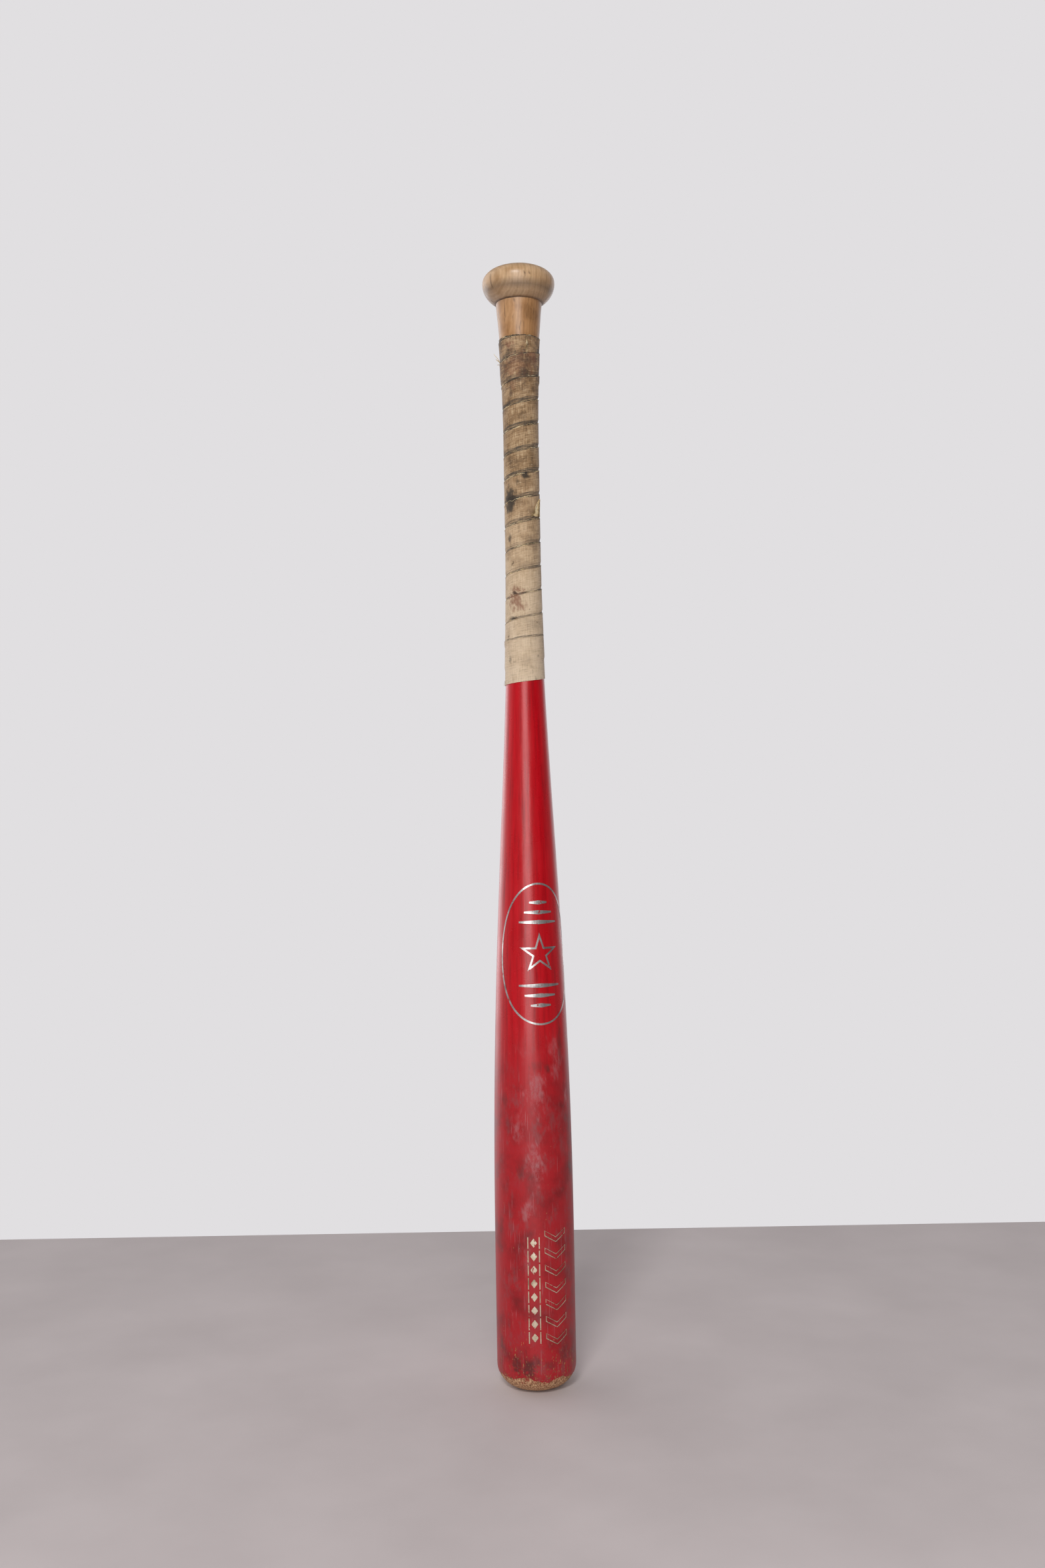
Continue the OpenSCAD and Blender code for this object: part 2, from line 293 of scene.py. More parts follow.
def ashWood():
    # varnished ash, turned on a lathe: long fine fibres, open pores as dark dashes and wide growth rings;
    # the neck is amber under old varnish, the knob grey from handling and the barrel end worn to bare fibres
    m = newMaterial("varnishedTurnedAsh")
    coords = addNode(m, "TexCoord", {}).outputs["Object"]
    height = addNode(m, "SeparateXYZ", {0: coords}).outputs["Z"]
    # growth rings round a heart 90 mm off the bat's axis, 4.5 mm apart
    log = addNode(m, "Mapping",
                  {"Vector": coords, "Location": (0.075, 0.052, 0), "Rotation": (0.03, -0.045, 0)})
    sway = addNode(m, "TexNoise", {"Vector": addNode(m, "Mapping", {"Vector": coords, "Scale": (1, 1, 0.14)}),
                                   "Scale": 22, "Detail": 2})
    swayed = addNode(m, "VectorMath",
                     {0: log, 1: addNode(m, "VectorMath", {0: sway.outputs["Color"], "Scale": 0.007},
                                         operation="SCALE")}, operation="ADD")
    rings = addNode(m, "TexWave",
                    {"Vector": swayed, "Scale": 70, "Distortion": 2.2, "Detail": 3, "Detail Scale": 1.6},
                    wave_type="RINGS", rings_direction="Z", wave_profile="SIN")
    # fibres 0.5 mm wide and pores 0.6 mm wide, both drawn a little coarser than ash has them
    fibreMap = addNode(m, "Mapping", {"Vector": coords, "Scale": (1100, 1100, 26)})
    fibres = addNode(m, "TexNoise", {"Vector": fibreMap, "Scale": 1, "Detail": 3, "Roughness": 0.6})
    poreMap = addNode(m, "Mapping", {"Vector": coords, "Scale": (900, 900, 75)})
    poreNoise = addNode(m, "TexNoise", {"Vector": poreMap, "Scale": 1, "Detail": 1})
    pores = addNode(m, "ValToRGB", {0: poreNoise}, stops=[(0.66, 0.0), (0.72, 1.0)])
    cloudNoise = addNode(m, "TexNoise", {"Vector": coords, "Scale": 55, "Detail": 3})

    amber = addNode(m, "ValToRGB", {0: rings}, stops=[(0.0, "#b68b60"), (0.5, "#bf9368"), (1.0, "#b0855b")])
    grey = addNode(m, "ValToRGB", {0: rings}, stops=[(0.0, "#cba780"), (0.5, "#d2b08a"), (1.0, "#c19e76")])
    bare = addNode(m, "ValToRGB", {0: fibres},
                   stops=[(0.3, "#5e3a29"), (0.43, "#9a6d4e"), (0.55, "#c0946e"), (0.7, "#e2c49a")])
    figure = addNode(m, "ValToRGB", {0: cloudNoise},
                     stops=[(0.3, "#b0a493"), (0.44, "#e2d9cc"), (0.56, "#ffffff")])
    knobShare = addNode(m, "MapRange", {0: height, 1: 0.7850, 2: 0.7875}, interpolation_type="SMOOTHSTEP")
    varnished = addNode(m, "Mix", {0: knobShare, 6: amber, 7: grey}, data_type="RGBA")
    figured = addNode(m, "Mix", {0: 0.7, 6: varnished, 7: figure}, data_type="RGBA", blend_type="MULTIPLY")
    fibreTone = addNode(m, "ValToRGB", {0: fibres},
                        stops=[(0.3, "#c9bdb0"), (0.5, "#ffffff"), (0.75, "#f4ece2")])
    grained = addNode(m, "Mix", {0: 0.4, 6: figured, 7: fibreTone}, data_type="RGBA", blend_type="MULTIPLY")
    # hand dirt and painted shade: a dark band under the knob's widest circle, and a thin line where the neck
    # meets it
    underKnobDirtAndShade = addNode(m, "ValToRGB", {0: addNode(m, "MapRange", {0: height, 1: 0.780, 2: 0.813})}, stops=[
        (0.0, 0.0), (0.165, 0.1), (0.182, 0.9), (0.205, 0.35), (0.30, 0.3), (0.40, 0.66), (0.47, 0.42),
        (0.56, 0.05), (0.8, 0.0)])
    blotches = addNode(m, "MapRange", {0: cloudNoise, 1: 0.3, 2: 0.7, 3: 0.65, 4: 1.15})
    dirtAndShadeShare = addNode(m, "Math", {0: underKnobDirtAndShade, 1: blotches}, operation="MULTIPLY", use_clamp=True)
    dirtyAndShaded = addNode(m, "Mix", {0: dirtAndShadeShare, 6: grained, 7: "#54463a"}, data_type="RGBA")
    marks = addNode(m, "Attribute", {}, attribute_name="grainMark").outputs["Fac"]
    poreDepth = addNode(m, "MapRange", {0: knobShare, 3: 0.5, 4: 0.12})  # filled with varnish on the knob
    poreShare = addNode(m, "Math",
                        {0: addNode(m, "Math", {0: pores, 1: poreDepth}, operation="MULTIPLY"), 1: marks},
                        operation="MAXIMUM", use_clamp=True)
    pored = addNode(m, "Mix", {0: poreShare, 6: dirtyAndShaded, 7: "#4a3323"}, data_type="RGBA")
    # red still in the fibres just below the lacquer's ragged edge
    endNoise = addNode(m, "TexNoise", {"Vector": coords, "Scale": 300, "Detail": 4, "Roughness": 0.7})
    redReach = addNode(m, "MapRange", {0: height, 1: 0.005, 2: 0.015, 3: 0.66, 4: 0.40})
    redLeft = addNode(m, "MapRange",
                      {0: addNode(m, "Math", {0: endNoise, 1: redReach}, operation="SUBTRACT"), 1: 0, 2: 0.06,
                       4: 0.85})
    bareRed = addNode(m, "Mix", {0: redLeft, 6: bare, 7: "#8f2a22"}, data_type="RGBA")
    endShare = addNode(m, "MapRange", {0: height, 1: 0.040, 2: 0.034}, interpolation_type="SMOOTHSTEP")
    colour = addNode(m, "Mix", {0: endShare, 6: pored, 7: bareRed}, data_type="RGBA")

    roughness = addNode(m, "MapRange", {0: endShare, 3: 0.32, 4: 0.8})
    handled = addNode(m, "Math",
                      {0: roughness,
                       1: addNode(m, "MapRange", {0: cloudNoise, 1: 0.3, 2: 0.7, 3: -0.06, 4: 0.1})},
                      operation="ADD")
    relief = addNode(m, "Math",
                     {0: fibres, 1: addNode(m, "Math", {0: poreShare, 1: -0.8}, operation="MULTIPLY")},
                     operation="ADD")
    depth = addNode(m, "MapRange", {0: endShare, 3: 0.12, 4: 0.9})
    bump = addNode(m, "Bump", {"Height": relief, "Strength": depth, "Distance": 0.00012})
    shader = addNode(m, "BsdfPrincipled",
                     {"Base Color": colour, "Roughness": handled, "Normal": bump, "IOR": 1.5})
    addNode(m, "OutputMaterial", {"Surface": shader})
    return m


wood = turnOnLathe(woodOutline, turnedWood["turns"])
for vertex in wood.data.vertices:  # knocks and wear where the wood is bare, always inward
    outward = Vector((vertex.co.x, vertex.co.y, 0))
    if outward.length > 1e-5 and (vertex.co.z > turnedWood["knobFrom"] or vertex.co.z < turnedWood["endTo"]):
        knock = max(0, noise.noise(vertex.co * 90) - 0.05) + 0.5 * max(0, noise.noise(vertex.co * 240) - 0.15)
        vertex.co -= outward.normalized() * knock * turnedWood["dentDepth"] * 2
paintAttribute(wood, "grainMark", lambda co: markDepth(co, turnedWood["grainMarks"])
               if co.z > turnedWood["grainFrom"] else 0)
bpy.ops.object.shade_smooth_by_angle(angle=math.radians(35))
dress(wood, "turnedWoodBody", ashWood())
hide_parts("turned_wood_body")
print("wood is turned")


redLacquer = {
    "turns": 192, "thickness": 0.25 * mm, "wornTo": 13.6 * mm, "ragged": 4.2 * mm, "rowStep": 2.6 * mm,
    "edgeStep": 0.9 * mm, "edgeRows": 14,  # finer rows along the ragged lower edge
    "clearance": 0.02 * mm,
    # pale scuffs and dark smudges: height mm, azimuth, half height, half width, strength
    "scuffs": [(216, 3, 17, 9, 0.5), (163, 3, 18, 7, 0.6), (131, -8, 9, 6, 0.5), (190, -20, 14, 7, 0.4),
               (210, 61, 9.5, 2.6, 0.95), (58, -36, 10, 1.2, 0.5), (98, -12, 12, 2.5, 0.35),
               (238, 40, 18, 8, 0.35), (245, -10, 10, 8, 0.12), (120, 140, 30, 8, 0.5),
               (200, 190, 26, 7, 0.5), (80, -110, 22, 6, 0.45)],
    "smudges": [(247, 50, 14, 3, 0.55), (230, 24, 3, 2.5, 0.7), (232, 8, 5, 6, 0.35), (208, -45, 6, 4, 0.5),
                (158, -20, 5, 4, 0.45), (22, -30, 8, 5, 0.9), (20, -12, 9, 6, 0.9), (26, 0, 5, 4, 0.6),
                (33, -60, 7, 3, 0.45), (120, -55, 8, 3, 0.35), (26, 42, 5, 5, 0.5), (22, 20, 4, 6, 0.5),
                (140, 150, 12, 4, 0.5), (60, 110, 8, 4, 0.6), (200, -120, 10, 3, 0.5), (24, 160, 8, 12, 0.6)],
}


def lacquer():
    # red cellulose lacquer brushed on open-grained ash: glossy and streaked along the grain near the emblem,
    # rubbed dull, scuffed and chipped to the wood towards the hitting end
    m = newMaterial("brushedRedLacquer")
    coords = addNode(m, "TexCoord", {}).outputs["Object"]
    height = addNode(m, "SeparateXYZ", {0: coords}).outputs["Z"]
    scuff = addNode(m, "Attribute", {}, attribute_name="scuff").outputs["Fac"]
    smudge = addNode(m, "Attribute", {}, attribute_name="smudge").outputs["Fac"]
    # 1 at the hitting end
    used = addNode(m, "MapRange", {0: height, 1: 0.27, 2: 0.19}, interpolation_type="SMOOTHSTEP")
    worn = addNode(m, "MapRange", {0: height, 1: 0.06, 2: 0.012})
    # brush and grain streaks 1.5 mm wide and 60 mm long
    streakMap = addNode(m, "Mapping", {"Vector": coords, "Scale": (420, 420, 9)})
    streaks = addNode(m, "TexNoise", {"Vector": streakMap, "Scale": 1, "Detail": 4, "Roughness": 0.65})
    fineMap = addNode(m, "Mapping", {"Vector": coords, "Scale": (1300, 1300, 60)})
    fine = addNode(m, "TexNoise", {"Vector": fineMap, "Scale": 1, "Detail": 2})
    speckNoise = addNode(m, "TexNoise",
                         {"Vector": addNode(m, "Mapping", {"Vector": coords, "Scale": (1, 1, 0.35)}),
                          "Scale": 1050, "Detail": 2, "Roughness": 0.6})
    clouds = addNode(m, "TexNoise", {"Vector": coords, "Scale": 45, "Detail": 5, "Roughness": 0.6})

    glossy = addNode(m, "ValToRGB", {0: streaks},
                     stops=[(0.3, "#9a0411"), (0.5, "#b80414"), (0.68, "#c20a1a")])
    rubbed = addNode(m, "ValToRGB", {0: clouds},
                     stops=[(0.3, "#6e0e12"), (0.42, "#950d17"), (0.55, "#ab0f1a"), (0.66, "#a81823"),
                            (0.76, "#963c43")])
    # a grey bloom in the rubbed lacquer, in patches drawn out along the grain
    bloomMap = addNode(m, "Mapping", {"Vector": coords, "Scale": (1, 1, 0.45), "Location": (0.3, 0.1, 0.2)})
    bloomNoise = addNode(m, "TexNoise", {"Vector": bloomMap, "Scale": 120, "Detail": 6, "Roughness": 0.75})
    bloom = addNode(m, "MapRange", {0: bloomNoise, 1: 0.52, 2: 0.66, 4: 0.5})
    bloomed = addNode(m, "Mix", {0: bloom, 6: rubbed, 7: "#7c4a4c"}, data_type="RGBA")
    red = addNode(m, "Mix", {0: used, 6: glossy, 7: bloomed}, data_type="RGBA")
    # pale powdery scuffs, broken up like the bloom
    broken = addNode(m, "MapRange", {0: bloomNoise, 1: 0.43, 2: 0.58})
    scuffShare = addNode(m, "Math", {0: scuff, 1: broken}, operation="MULTIPLY", use_clamp=True)
    scratchMap = addNode(m, "Mapping",
                         {"Vector": coords, "Scale": (1500, 1500, 38), "Rotation": (0.04, 0.05, 0)})
    scratchNoise = addNode(m, "TexNoise", {"Vector": scratchMap, "Scale": 1, "Detail": 1})
    scratches = addNode(m, "MapRange", {0: scratchNoise, 1: 0.69, 2: 0.74, 4: 0.55})
    scratchShare = addNode(m, "Math", {0: scratches, 1: used}, operation="MULTIPLY")
    paleShare = addNode(m, "Math", {0: scuffShare, 1: scratchShare}, operation="MAXIMUM")
    scuffed = addNode(m, "Mix", {0: paleShare, 6: red, 7: "#b8767a"}, data_type="RGBA")
    smudged = addNode(m, "Mix",
                      {0: addNode(m, "Math", {0: smudge, 1: 0.8}, operation="MULTIPLY"), 6: scuffed,
                       7: "#3d1f1c"}, data_type="RGBA")
    # chips down to the yellow wood: few specks up high, many at the barrel end
    chipLevel = addNode(m, "MapRange", {0: worn, 3: 0.735, 4: 0.6})
    chips = addNode(m, "MapRange",
                    {0: addNode(m, "Math", {0: speckNoise, 1: chipLevel}, operation="SUBTRACT"), 1: 0,
                     2: 0.02})
    chipZone = addNode(m, "MapRange", {0: height, 1: 0.30, 2: 0.22})
    chipShare = addNode(m, "Math", {0: chips, 1: chipZone}, operation="MULTIPLY", use_clamp=True)
    woodTone = addNode(m, "ValToRGB", {0: fine},
                       stops=[(0.35, "#6b4229"), (0.55, "#9a6a45"), (0.7, "#c59a5e")])
    colour = addNode(m, "Mix", {0: chipShare, 6: smudged, 7: woodTone}, data_type="RGBA")

    gloss = addNode(m, "MapRange", {0: used, 3: 0.29, 4: 0.5})
    patchy = addNode(m, "Math",
                     {0: gloss, 1: addNode(m, "MapRange", {0: clouds, 1: 0.3, 2: 0.7, 3: -0.06, 4: 0.12})},
                     operation="ADD")
    dull = addNode(m, "Math",
                   {0: patchy, 1: addNode(m, "Math", {0: scuffShare, 1: chipShare}, operation="MAXIMUM")},
                   operation="ADD", use_clamp=True)
    roughness = addNode(m, "MapRange", {0: dull, 1: 0, 2: 1.3, 3: 0.1, 4: 0.85})
    relief = addNode(m, "Math", {0: addNode(m, "Math", {0: streaks, 1: 0.9}, operation="MULTIPLY"),
                                 1: addNode(m, "Math", {0: fine, 1: 0.35}, operation="MULTIPLY")},
                     operation="ADD")
    chipped = addNode(m, "Math", {0: relief, 1: chipShare}, operation="SUBTRACT")
    bump = addNode(m, "Bump", {"Height": chipped, "Strength": 0.55, "Distance": 0.00015})
    shader = addNode(m, "BsdfPrincipled",
                     {"Base Color": colour, "Roughness": roughness, "Normal": bump, "IOR": 1.5})
    addNode(m, "OutputMaterial", {"Surface": shader})
    return m


def lacquerRadius(height):
    # the coat stands on the wood, measured square to its outline
    slope = (woodRadius(height + 0.5 * mm) - woodRadius(height - 0.5 * mm)) / (1 * mm)
    return woodRadius(height) + redLacquer["thickness"] * math.sqrt(1 + slope * slope)


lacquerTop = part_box("red_lacquer_coat")[1].z
lowest = redLacquer["wornTo"] - redLacquer["ragged"]
heights = [lowest + redLacquer["edgeStep"] * i for i in range(redLacquer["edgeRows"])]
edgeTop = heights[-1]
rowsAbove = math.ceil((lacquerTop - edgeTop) / redLacquer["rowStep"])
heights += [edgeTop + (lacquerTop - edgeTop) * (i + 1) / rowsAbove for i in range(rowsAbove)]
coat = turnOnLathe([(lacquerRadius(z), z) for z in heights], redLacquer["turns"])
blend = edgeTop - lowest
for vertex in coat.data.vertices:  # the lower edge is ragged: it creeps up where the coat has flaked away
    if vertex.co.z < edgeTop:
        spot = Vector((vertex.co.x, vertex.co.y, 0))
        creep = (0.5 + 0.75 * noise.noise(spot * 75) + 0.45 * noise.noise(spot * 260)
                 + 0.25 * noise.noise(spot * 700))
        creep = min(1.5, max(0.0, creep))
        z = vertex.co.z + creep * redLacquer["ragged"] * (1 - (vertex.co.z - lowest) / blend)
        girth = lacquerRadius(z)
        vertex.co = (spot.normalized() * girth) + Vector((0, 0, z))
solid = coat.modifiers.new("coatThickness", "SOLIDIFY")
solid.thickness = redLacquer["thickness"] - redLacquer["clearance"]
solid.offset = -1
bpy.ops.object.modifier_apply(modifier=solid.name)
paintAttribute(coat, "scuff", lambda co: markDepth(co, redLacquer["scuffs"], 0.5))
paintAttribute(coat, "smudge", lambda co: markDepth(co, redLacquer["smudges"], 0.5))
bpy.ops.object.shade_smooth_by_angle(angle=math.radians(40))
dress(coat, "redLacquerCoat", lacquer())
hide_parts("red_lacquer_coat")
print("lacquer is on")


def silverFoil(name, wear, tones):
    # hot-stamped silver foil: mirror-like but finely crinkled, tarnished in patches
    # and rubbed through in flecks
    m = newMaterial(name)
    coords = addNode(m, "TexCoord", {}).outputs["Object"]
    grainMap = addNode(m, "Mapping", {"Vector": coords, "Scale": (1, 1, 0.4)})
    flecks = addNode(m, "TexNoise", {"Vector": grainMap, "Scale": 620, "Detail": 3, "Roughness": 0.65})
    patches = addNode(m, "TexNoise", {"Vector": coords, "Scale": 130, "Detail": 3})
    crinkle = addNode(m, "TexNoise", {"Vector": coords, "Scale": 1500, "Detail": 2})
    missing = addNode(m, "ValToRGB", {0: flecks}, stops=[(wear, 0.0), (wear + 0.025, 1.0)])
    tone = addNode(m, "ValToRGB", {0: patches}, stops=[(0.3, tones[0]), (0.48, tones[1]), (0.7, tones[2])])
    colour = addNode(m, "Mix", {0: missing, 6: tone, 7: "#9a1219"}, data_type="RGBA")
    metal = addNode(m, "MapRange", {0: missing, 3: 1.0, 4: 0.0})
    roughness = addNode(m, "MapRange", {0: patches, 1: 0.3, 2: 0.7, 3: 0.5, 4: 0.32})
    bump = addNode(m, "Bump", {"Height": crinkle, "Strength": 0.35, "Distance": 0.00005})
    shader = addNode(m, "BsdfPrincipled",
                     {"Base Color": colour, "Metallic": metal, "Roughness": roughness, "Normal": bump})
    addNode(m, "OutputMaterial", {"Surface": shader})
    return m


brightFoil = silverFoil("stampedSilverFoil", 0.63, ("#8f8c8b", "#c6c3c1", "#ebe8e5"))
rubbedFoil = silverFoil("rubbedSilverFoil", 0.6, ("#9c8b74", "#d2c2a8", "#eee3cd"))
for nodeName, finish in (("foil_oval_ring", brightFoil), ("foil_star_and_bars", brightFoil),
                         ("foil_chevron_row", rubbedFoil), ("foil_pinstripes", rubbedFoil)):
    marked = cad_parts[nodeName]
    marked.data.materials.clear()
    marked.data.materials.append(finish)
print("foil is stamped")


gripTape = {
    "width": 32 * mm, "thickness": 0.42 * mm, "gap": 0.05 * mm, "pitch": 17.4 * mm, "turns": 13.4,
    "startEase": 4.5 * mm, "finishEase": 7 * mm, "easeRate": 2.5, "ramp": 1.5 * mm,
    "startAzimuth": 18,  # degrees from the front, + to the right; the strip runs to the left and down
    "fade": 60 * mm, "columns": 100,
    "rows": (0, 0.35, 0.9, 1.8, 3.2, 5, 7, 9, 11, 12.6, 13.6, 14.3, 15, 15.7, 16.4, 17.1, 17.9, 19, 22, 26,
             29, 32),
    # dark stains and rusty blotches: height mm, azimuth, half height, half width, strength
    "stains": [(642, -45, 10, 7, 1), (636, -43, 7, 5.5, 1), (657, 13, 3.4, 3.2, 1),
               (652, -14, 3, 2.6, 0.6), (611.5, -47, 3.6, 2.6, 0.85), (553.6, -36, 1.5, 4, 0.9),
               (572, -30, 1.6, 3, 0.85), (524, -47, 3, 1.2, 0.5), (522, -30, 1.2, 1.6, 0.4),
               (526, 42, 0.8, 0.8, 0.6), (509, 30, 0.7, 2.5, 0.5), (732, 14, 6, 5, 0.6),
               (741, 20, 4, 9, 0.55), (728, -20, 3, 10, 0.35), (744, -45, 3, 4, 0.55),
               (718, -30, 5, 2, 0.5), (752, 24, 3, 1.6, 0.6), (747, -36, 3, 2.5, 0.5),
               (700, 8, 5, 4, 0.25), (676, 40, 6, 3, 0.3), (640, 120, 5, 4, 0.6), (590, 165, 4, 6, 0.5),
               (700, -140, 5, 5, 0.5), (735, 150, 8, 9, 0.5)],
    "blotches": [(568, -28, 9.5, 6, 1), (563, -12, 5, 4.5, 0.95), (575, -32, 4, 2.2, 0.9),
                 (743, 36, 7, 8, 0.7), (753, -28, 3, 4, 0.8), (732, -26, 3.5, 3, 0.8),
                 (553, -28, 0.6, 3, 0.5), (548, -16, 2.4, 0.6, 0.5), (738, 0, 12, 14, 0.5),
                 (722, -25, 5, 3, 0.5)],
}
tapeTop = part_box("tape_anchor_turn")[1].z


def tapeEdge(turn):
    g = gripTape
    if turn <= 0:
        return tapeTop
    return (tapeTop - g["pitch"] * turn + g["startEase"] * (1 - math.exp(-g["easeRate"] * turn))
            + g["finishEase"] * math.exp(-g["easeRate"] * (g["turns"] - turn)))


def layersUnder(turn, height):
    # height above the wood of the turns that lie under the strip
    g = gripTape
    if turn < -0.001:
        return 0
    low = tapeEdge(turn - 1) - g["width"]
    share = min(1, max(0, (height - low) / g["ramp"] + 1))
    return share * (layersUnder(turn - 1, height) + g["thickness"] + g["gap"]) if share else 0


def bedRadius(height):
    g = gripTape
    onCoat = smooth((lacquerTop + g["width"] + g["fade"] - height) / g["fade"])
    return woodRadius(height) + (redLacquer["thickness"] + g["gap"]) * onCoat + g["gap"]


def clothTape():
    # rubbed cotton tape: plain weave with a soft nap and no shine, grimy in the dips between turns
    # with painted shade along the seams, and with pale threads pulled from its cut edges
    m = newMaterial("wovenCottonGripTape")
    coords = addNode(m, "TexCoord", {}).outputs["Object"]
    height = addNode(m, "SeparateXYZ", {0: coords}).outputs["Z"]
    strip = addNode(m, "UVMap", {}, uv_map="strip")
    across = addNode(m, "SeparateXYZ", {0: strip}).outputs["Y"]  # from the strip's upper edge, in metres
    # mm above the next turn's edge
    toNext = addNode(m, "Attribute", {}, attribute_name="toNext").outputs["Fac"]
    stain = addNode(m, "Attribute", {}, attribute_name="stain").outputs["Fac"]
    blotch = addNode(m, "Attribute", {}, attribute_name="blotch").outputs["Fac"]
    # threads of 0.6 mm drawn 0.85 mm apart so that they show
    warp = addNode(m, "TexWave",
                   {"Vector": strip, "Scale": 370, "Distortion": 0.9, "Detail": 1, "Detail Scale": 0.6},
                   wave_type="BANDS", bands_direction="X")
    weft = addNode(m, "TexWave",
                   {"Vector": strip, "Scale": 370, "Distortion": 0.9, "Detail": 1, "Detail Scale": 0.6},
                   wave_type="BANDS", bands_direction="Y")
    weave = addNode(m, "Math", {0: warp, 1: weft}, operation="MULTIPLY")
    fuzz = addNode(m, "TexNoise", {"Vector": coords, "Scale": 900, "Detail": 3, "Roughness": 0.7})
    clouds = addNode(m, "TexNoise", {"Vector": coords, "Scale": 70, "Detail": 5, "Roughness": 0.65})
    # uneven threads: streaks 0.7 mm apart and 8 mm long, along the strip and across it
    alongMap = addNode(m, "Mapping", {"Vector": strip, "Scale": (120, 1500, 1)})
    alongStreaks = addNode(m, "TexNoise", {"Vector": alongMap, "Scale": 1, "Detail": 3, "Roughness": 0.6})
    crossMap = addNode(m, "Mapping", {"Vector": strip, "Scale": (1500, 110, 1)})
    crossStreaks = addNode(m, "TexNoise", {"Vector": crossMap, "Scale": 1, "Detail": 3, "Roughness": 0.6})

    heightShare = addNode(m, "MapRange", {0: height, 1: 0.50, 2: 0.76})
    tone = addNode(m, "ValToRGB", {0: heightShare}, stops=[
        (0.0, "#e5d1b7"), (0.25, "#e0caad"), (0.42, "#d6bc9b"), (0.54, "#c8ab88"), (0.66, "#c0a480"),
        (0.85, "#c4a783"), (1.0, "#c8aa86")])
    upper = addNode(m, "MapRange", {0: height, 1: 0.56, 2: 0.68})  # the part that hands have darkened
    mottle = addNode(m, "ValToRGB", {0: clouds},
                     stops=[(0.34, "#8f8274"), (0.46, "#d9d0c3"), (0.58, "#ffffff")])
    mottled = addNode(m, "Mix", {0: addNode(m, "MapRange", {0: upper, 3: 0.35, 4: 0.95}), 6: tone, 7: mottle},
                      data_type="RGBA", blend_type="MULTIPLY")
    streaks = addNode(m, "Math", {0: alongStreaks, 1: crossStreaks}, operation="ADD")
    streakTone = addNode(m, "ValToRGB", {0: addNode(m, "MapRange", {0: streaks, 1: 0.7, 2: 1.3})}, stops=[
        (0.12, "#7d7060"), (0.42, "#e4dcd0"), (0.8, "#ffffff")])
    streaked = addNode(m, "Mix",
                       {0: addNode(m, "MapRange", {0: upper, 3: 0.35, 4: 0.8}), 6: mottled, 7: streakTone},
                       data_type="RGBA", blend_type="MULTIPLY")
    # brown hand grime under the knob, worked into the threads, and threads rubbed pale
    gripMap = addNode(m, "Mapping", {"Vector": strip, "Scale": (130, 330, 1)})
    gripNoise = addNode(m, "TexNoise", {"Vector": gripMap, "Scale": 1, "Detail": 6, "Roughness": 0.72})
    gripZone = addNode(m, "ValToRGB", {0: heightShare},
                       stops=[(0.8, 0.0), (0.87, 0.75), (0.95, 0.85), (0.985, 0.45)])
    gripSpots = addNode(m, "MapRange", {0: gripNoise, 1: 0.47, 2: 0.62})
    gripShare = addNode(m, "Math", {0: gripSpots, 1: gripZone}, operation="MULTIPLY")
    gripped = addNode(m, "Mix", {0: gripShare, 6: streaked, 7: "#4e392b"}, data_type="RGBA")
    rubShare = addNode(m, "MapRange", {0: streaks, 1: 1.13, 2: 1.27, 4: 0.55})
    handled = addNode(m, "Mix", {0: rubShare, 6: gripped, 7: "#e2cfac"}, data_type="RGBA")
    woven = addNode(m, "ValToRGB", {0: weave}, stops=[(0.0, "#b9ae9f"), (0.5, "#ffffff")])
    clothed = addNode(m, "Mix", {0: 0.35, 6: handled, 7: woven}, data_type="RGBA", blend_type="MULTIPLY")
    # grime and painted shade in the dips: a dark woven band near the knob, only a broken line towards the
    # barrel
    wobble = addNode(m, "MapRange", {0: alongStreaks, 1: 0.3, 2: 0.7, 3: -0.35, 4: 0.35})
    above = addNode(m, "Math", {0: toNext, 1: wobble}, operation="ADD")
    inDip = addNode(m, "MapRange", {0: above, 1: 3.3, 2: 2.7})
    dipGrime = addNode(m, "ValToRGB", {0: heightShare},
                       stops=[(0.3, 0.0), (0.42, 0.35), (0.5, 0.8), (0.8, 0.9), (0.86, 0.3), (1.0, 0.5)])
    # the thin line along the next turn's edge is grime with painted shade in the seam; the wider band is
    # grime
    nearNext = addNode(m, "MapRange", {0: above, 1: 1.2, 2: 0.6})
    seamLineDirtAndShade = addNode(m, "ValToRGB", {0: heightShare},
                        stops=[(0.0, 0.2), (0.12, 0.7), (0.3, 0.95), (1.0, 1.0)])
    patchy = addNode(m, "MapRange", {0: alongStreaks, 1: 0.42, 2: 0.6, 3: 1.0, 4: 0.3})
    bandShare = addNode(m, "Math", {0: inDip, 1: dipGrime}, operation="MULTIPLY")
    lineShare = addNode(m, "Math", {0: nearNext, 1: seamLineDirtAndShade}, operation="MULTIPLY")
    grimeAndSeamShadeShare = addNode(m, "Math",
                         {0: addNode(m, "Math", {0: bandShare, 1: lineShare}, operation="MAXIMUM"),
                          1: patchy},
                         operation="MULTIPLY", use_clamp=True)
    grimyAndSeamShaded = addNode(m, "Mix", {0: grimeAndSeamShadeShare, 6: clothed, 7: "#3d3a34"}, data_type="RGBA")
